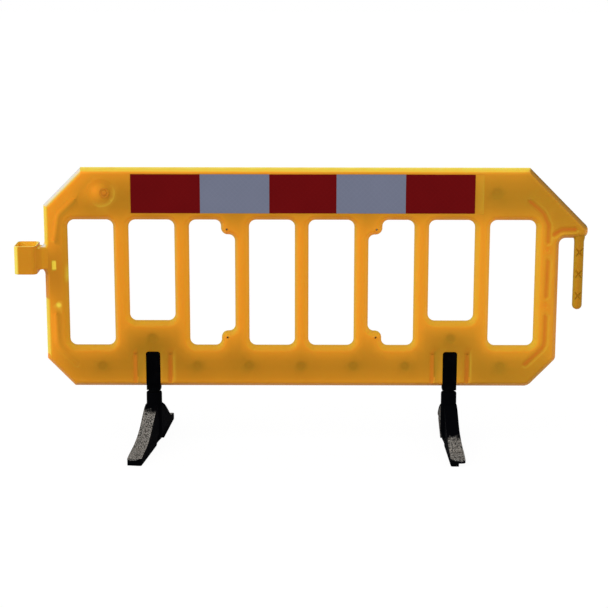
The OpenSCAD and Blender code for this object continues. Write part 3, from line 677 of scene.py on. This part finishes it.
# Stems
# Two blocks of black polypropylene that stand in the notches in the panel's lower edge. Each has a pocket at
# the back for the lock nut of its pivot bolt.
STEM_GAP, STEM_LOW, STEM_HALF_T, STEM_EDGE_R = 0.3, 204.0, 23.0, 4.0
STEM_HALF, STEM_TOP = NOTCH_HALF - STEM_GAP, NOTCH_TOP - STEM_GAP
POCKET_HALF, POCKET_LOW, POCKET_TOP = 12.1, 238.0, 252.1
pocket_levels = [(-2, STEM_HALF_T + 7), (-2, STEM_HALF_T + 0.02), (0, STEM_HALF_T - 2), (0, -14)]
# Black polypropylene, moulded in an eroded tool: matt, with paler scuffs. The real grain is about 0.5 mm wide
# and is drawn at 3.85 mm so that it shows.
PP_GRAIN, SCUFF = 3.85, 28.6
black, tree, out = new_material("black_polypropylene_moulded")
place = add_node(tree, "TexCoord").outputs["Object"]
grain = add_node(tree, "TexNoise", {"Vector": place, "Scale": 1000 / PP_GRAIN, "Detail": 3.0})
scuffs = add_node(tree, "TexNoise", {"Vector": place, "Scale": 1000 / SCUFF, "Detail": 4.0})
worn = add_node(tree, "MapRange", {0: scuffs.outputs["Fac"], 1: 0.52, 2: 0.75})
colour = add_node(tree, "Mix", {0: worn.outputs[0], 6: srgb("#010102"), 7: srgb("#050608")}, data_type="RGBA")
rough = add_node(tree, "MapRange", {0: grain.outputs["Fac"], 3: 0.5, 4: 0.65})
bump = add_node(tree, "Bump", {"Strength": 0.3, "Distance": 0.0003, "Height": grain.outputs["Fac"]})
skin = add_node(tree, "BsdfPrincipled", {
    "Base Color": colour.outputs[2], "Roughness": rough.outputs[0], "IOR": 1.15, "Specular IOR Level": 0.1,
    "Normal": bump.outputs[0]})
tree.links.new(skin.outputs[0], out.inputs["Surface"])
for name, x in zip(("left", "right"), FOOT_MIDS):
    line = box(x, STEM_HALF, STEM_LOW, STEM_TOP, 0, NOTCH_R)
    stem = drafted_block(f"{name}_stem_block", line, edged(STEM_HALF_T, -STEM_HALF_T, STEM_EDGE_R))
    line = box(x, POCKET_HALF, POCKET_LOW, POCKET_TOP)
    combine(stem, [drafted_block("pocket", line, pocket_levels)], "DIFFERENCE")
    finished(stem, black, "panel", [f"{name}_stem"])
    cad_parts[f"{name}_thrust_washer"].material_slots[0].material = black


# Feet
# Two long feet of black recycled rubber, moulded in one piece with a round hub on top. They turn on the pivot
# bolts, stand on a pad at each end, and their sloping backs are grey with dried dust.
FOOT_HALF_LEN, FOOT_INNER, FOOT_OUTER, FOOT_EDGE_R = 304.0, -18.0, 29.0, 1.8
HUB_R, HEAD_BORE, HEAD_ROOF, BOLT_BORE = 28.5, 17.0, 25.2, 8.08
FOOT_SWELL, FOOT_DRAW, FOOT_SPREAD, FOOT_TRIM = 9.0, 11.0, 5.0, 0.1
FOOT_TURNS = (172.0, 1.0)
# Black rubber of pressed crumb, dull, with dust that lies where it slopes gently. The crumb is about 2 mm
# wide in life and is drawn at 3.85 mm so that it shows.
CRUMB, DRIFT = 3.85, 16.7
rubber, tree, out = new_material("black_recycled_rubber_dusty")
place = add_node(tree, "TexCoord").outputs["Object"]
where = add_node(tree, "SeparateXYZ", {0: place})
facing = add_node(tree, "SeparateXYZ", {0: add_node(tree, "NewGeometry").outputs["Normal"]})
crumb = add_node(tree, "TexNoise", {"Vector": place, "Scale": 1000 / CRUMB, "Detail": 2.0, "Roughness": 0.6})
drift = add_node(tree, "TexNoise", {"Vector": place, "Scale": 1000 / DRIFT, "Detail": 3.0})
ceiling = add_node(tree, "MapRange", {0: where.outputs["X"], 1: -0.1, 2: 0.1, 3: 0.130, 4: 0.062})
ragged = add_node(tree, "Math", {
    0: drift.outputs["Fac"], 1: 0.03, 2: ceiling.outputs[0]}, operation="MULTIPLY_ADD")
under = add_node(tree, "Math", {0: ragged.outputs[0], 1: where.outputs["Z"]}, operation="SUBTRACT")
below = add_node(tree, "MapRange", {0: under.outputs[0], 1: 0.008, 2: 0.02})
level = add_node(tree, "MapRange", {0: facing.outputs["Z"], 1: 0.25, 2: 0.6})
grey_share = add_node(tree, "Math", {0: below.outputs[0], 1: level.outputs[0]}, operation="MULTIPLY")
# The inner side of the right foot's heel is grey too: dust, and a painted highlight where it faces the lamp
# on the left
aside = add_node(tree, "MapRange", {0: facing.outputs["X"], 1: -0.5, 2: -0.9})
heel = add_node(tree, "MapRange", {0: where.outputs["Y"], 1: 0.0, 2: 0.06, 4: 0.8})
right_only = add_node(tree, "Math", {0: where.outputs["X"], 1: 0.0}, operation="GREATER_THAN")
for share in (aside, right_only):
    heel = add_node(tree, "Math", {0: heel.outputs[0], 1: share.outputs[0]}, operation="MULTIPLY")
grey_share = add_node(tree, "Math", {0: grey_share.outputs[0], 1: heel.outputs[0]}, operation="MAXIMUM")
speckle = add_node(tree, "MapRange", {0: crumb.outputs["Fac"], 1: 0.42, 2: 0.62})
dust_and_highlight = add_node(tree, "Math", {0: grey_share.outputs[0], 1: speckle.outputs[0]}, operation="MULTIPLY")
dark = add_node(tree, "Mix", {
    0: crumb.outputs["Fac"], 6: srgb("#010102"), 7: srgb("#07080B")}, data_type="RGBA")
colour = add_node(tree, "Mix", {0: dust_and_highlight.outputs[0], 6: dark.outputs[2], 7: srgb("#96938D")}, data_type="RGBA")
bump = add_node(tree, "Bump", {"Strength": 0.5, "Distance": 0.0008, "Height": crumb.outputs["Fac"]})
skin = add_node(tree, "BsdfPrincipled", {
    "Base Color": colour.outputs[2], "Roughness": 0.9, "IOR": 1.1, "Specular IOR Level": 0.1,
    "Normal": bump.outputs[0]})
tree.links.new(skin.outputs[0], out.inputs["Surface"])
half = [(44, 8, 0), (52, 0, 0), (FOOT_HALF_LEN, 0, 8), (FOOT_HALF_LEN, 24, 10)] + [(y, z, 0) for y, z in (
    (285, 29.5), (262, 34), (235, 39), (210, 45), (187, 52), (165, 61), (145, 71.5), (125, 84), (105, 98),
    (85, 112.5), (65, 127), (45, 140), (25, 149))]
side_line = rounded(half + [(-y, z, r) for y, z, r in reversed(half)], 3)
toe = FOOT_HALF_LEN - FOOT_TRIM
plan_line = rounded([(-30, -toe, 40), (36, -toe, 16), (36, toe, 16), (-30, toe, 40)])
step_line = rounded([(-330, -6, 0), (-240, -6, 0), (-256, 12, 6), (-330, 14, 0)])
hub_levels = [(8, 10), (0, 40), (0, 189), (0.8, 192), (2.4, 193.6), (5, 194)]
bore_step = HEAD_BORE - BOLT_BORE
bore_levels = [(0, -5), (0, HEAD_ROOF), (bore_step, HEAD_ROOF), (bore_step, 200)]
for name, x, turn in zip(("left", "right"), FOOT_MIDS, FOOT_TURNS):
    edges = edged(FOOT_INNER, FOOT_OUTER, FOOT_EDGE_R)
    foot = drafted_block(f"{name}_foot_moulding", side_line, edges, "X")
    heel = -1 if name == "left" else 1
    for v in foot.data.vertices:
        # The inner side swells behind the hub and draws in at the heel, and the outer side spreads at the toe
        back = heel * v.co.y * 1000
        swell = FOOT_SWELL * np.clip((back - 30) / 40, 0, 1) * np.clip((260 - back) / 110, 0, 1)
        inner = FOOT_DRAW * np.clip((back - 120) / 180, 0, 1) - swell
        outer = FOOT_SPREAD * np.clip((-back - 120) / 120, 0, 1)
        v.co.x += (inner if v.co.x < 0 else outer) / 1000
    for tool, operation in (
            (drafted_block("hub", circle(0, 0, HUB_R, 48), hub_levels, "Z"), "UNION"),
            (drafted_block("plan", plan_line, [(0, -5), (0, 200)], "Z"), "INTERSECT"),
            (drafted_block("step", step_line, [(0, 10), (0, 45)], "X"), "DIFFERENCE"),
            (drafted_block("bore", circle(0, 0, HEAD_BORE, 32), bore_levels, "Z"), "DIFFERENCE")):
        combine(foot, [tool], operation)
    finished(foot, rubber, f"{name}_foot", [f"{name}_foot"], x + PANEL_MID, turn)


# Pivot bolts, lock nuts and washers
# Zinc-plated steel fasteners that hold each foot to its stem. The bolt goes up through the hub, and its head
# sits with a washer in the recess under the foot. The plating is bright, with faint cells.
SPANGLE = 4.2
zinc, tree, out = new_material("zinc_plated_steel")
place = add_node(tree, "TexCoord").outputs["Object"]
spangle = add_node(tree, "TexVoronoi", {"Vector": place, "Scale": 1000 / SPANGLE}).outputs["Distance"]
tone = add_node(tree, "ValToRGB", {"Fac": spangle}, [(0.0, "#B9BCC2"), (1.0, "#8E9299")])
rough = add_node(tree, "MapRange", {0: spangle, 3: 0.28, 4: 0.45})
skin = add_node(tree, "BsdfPrincipled", {
    "Base Color": tone.outputs[0], "Metallic": 1.0, "Roughness": rough.outputs[0]})
tree.links.new(skin.outputs[0], out.inputs["Surface"])
for name in ("left", "right"):
    for part in ("pivot_bolt", "lock_nut", "head_washer"):
        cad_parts[f"{name}_{part}"].material_slots[0].material = zinc


# Floor, light and camera
# A plain pale studio floor that shows white and keeps a faint shadow, one soft lamp from the upper left, an
# even sky, and the camera at the photograph's place.
FLOOR_SIZE = 60
SENSOR, FOCAL_PIXELS, IMAGE_PIXELS = 36.0, 1729, 608
VIEW_FROM, VIEW_ANGLES = (0.0065, -6.16, 1.898), (77.43, -0.098, -0.008)
floor_paint, tree, out = new_material("pale_studio_floor")
rays = add_node(tree, "LightPath")
seen = rays.outputs["Is Camera Ray"]
for kind in ("Is Glossy Ray", "Is Transmission Ray"):
    seen = add_node(tree, "Math", {0: seen, 1: rays.outputs[kind]}, operation="MAXIMUM").outputs[0]
share = add_node(tree, "Math", {0: seen, 1: 0.93}, operation="MULTIPLY")
matt = add_node(tree, "BsdfDiffuse", {"Color": (0.6, 0.6, 0.6, 1)})
white = add_node(tree, "Emission", {"Color": (1, 1, 1, 1), "Strength": 1.03})
blend = add_node(tree, "MixShader", {0: share.outputs[0], 1: matt.outputs[0], 2: white.outputs[0]})
tree.links.new(blend.outputs[0], out.inputs["Surface"])
bpy.ops.object.select_all(action="DESELECT")
bpy.ops.mesh.primitive_plane_add(size=FLOOR_SIZE)
floor = bpy.context.object
floor.name = "studio_floor"
floor.data.materials.append(floor_paint)

world = bpy.data.worlds.new("studio")
bpy.context.scene.world = world
world.use_nodes = True
tree = world.node_tree
tree.nodes.clear()
rays = add_node(tree, "LightPath")
seen = add_node(tree, "Math", {
    0: rays.outputs["Is Camera Ray"], 1: rays.outputs["Is Transmission Ray"]}, operation="MAXIMUM")
power = add_node(tree, "MapRange", {0: seen.outputs[0], 3: 0.95, 4: 1.0})
sky = add_node(tree, "Background", {"Color": (1, 1, 1, 1), "Strength": power.outputs[0]})
tree.links.new(sky.outputs[0], tree.nodes.new("ShaderNodeOutputWorld").inputs["Surface"])

bpy.ops.object.light_add(type="SUN")
lamp = bpy.context.object
lamp.name = "soft_lamp"
lamp.data.energy = 1.1
lamp.data.angle = math.radians(60)
lamp.rotation_euler = Vector((-0.5, -0.45, 0.75)).to_track_quat("Z", "Y").to_euler()

bpy.ops.object.camera_add(location=VIEW_FROM)
camera = bpy.context.object
camera.data.sensor_width = SENSOR
camera.data.lens = SENSOR * FOCAL_PIXELS / IMAGE_PIXELS
camera.rotation_euler = [math.radians(a) for a in VIEW_ANGLES]
bpy.context.scene.camera = camera
bpy.context.scene.view_settings.view_transform = "Standard"
